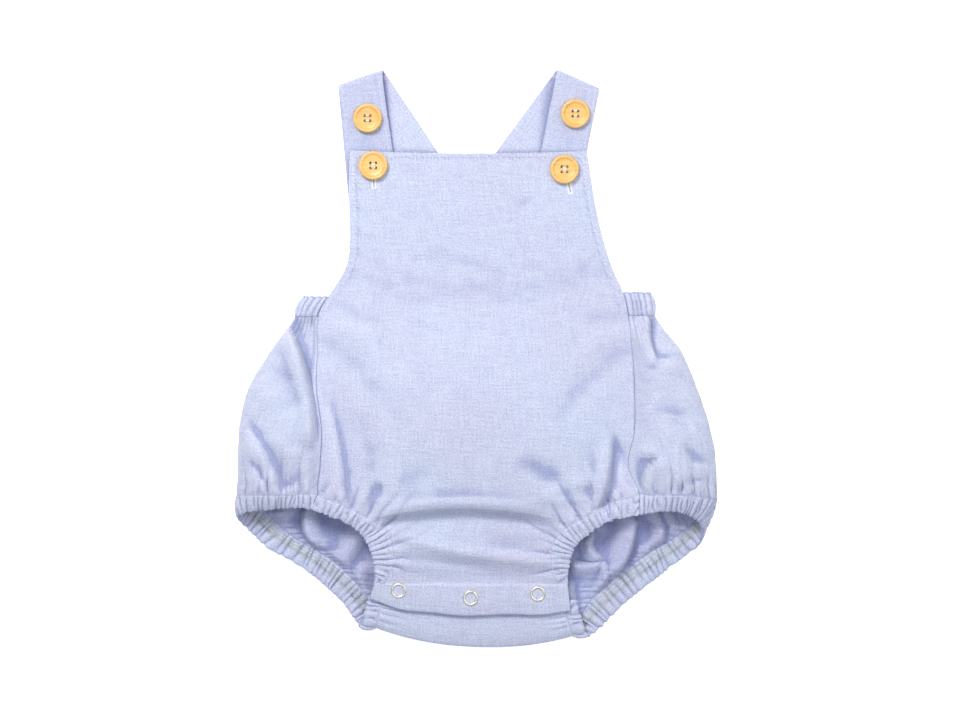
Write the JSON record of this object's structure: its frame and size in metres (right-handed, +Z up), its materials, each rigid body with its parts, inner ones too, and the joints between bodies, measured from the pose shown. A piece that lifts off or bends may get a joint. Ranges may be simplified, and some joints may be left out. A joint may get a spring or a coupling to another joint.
{
  "type": "baby romper",
  "caption": "Baby bib romper with bubble legs, laid flat: crossed straps buttoned to the bib, gathered waist and leg edges, snap placket.",
  "frame": {"origin": "middle of the garment's footprint on the surface it lies on", "axes": "+Y along the garment from the crotch to the shoulders, +Z up off the surface, +X to the right of someone who looks down at its front (the wearer's left)"},
  "size_m": [0.2981, 0.3597, 0.0272],
  "materials": {
    "cloth": "matte slubby woven cotton-linen",
    "button": "satin honey yellow",
    "snap": "pale polished metal"
  },
  "bodies": {
    "root": {"front_panel": "cloth", "back_panel": "cloth", "waist_casing": "cloth", "front_placket": "cloth", "leg_casing_front_left": "cloth", "leg_casing_front_right": "cloth", "leg_casing_back_left": "cloth", "leg_casing_back_right": "cloth", "strap_left": "cloth", "strap_right": "cloth", "button_bib_left": "button", "button_strap_left": "button", "button_bib_right": "button", "button_strap_right": "button", "snap_ring_1": "snap", "snap_ring_2": "snap", "snap_ring_3": "snap", "snap_stud_1": "snap", "snap_stud_2": "snap", "snap_stud_3": "snap"}
  },
  "joints": []
}
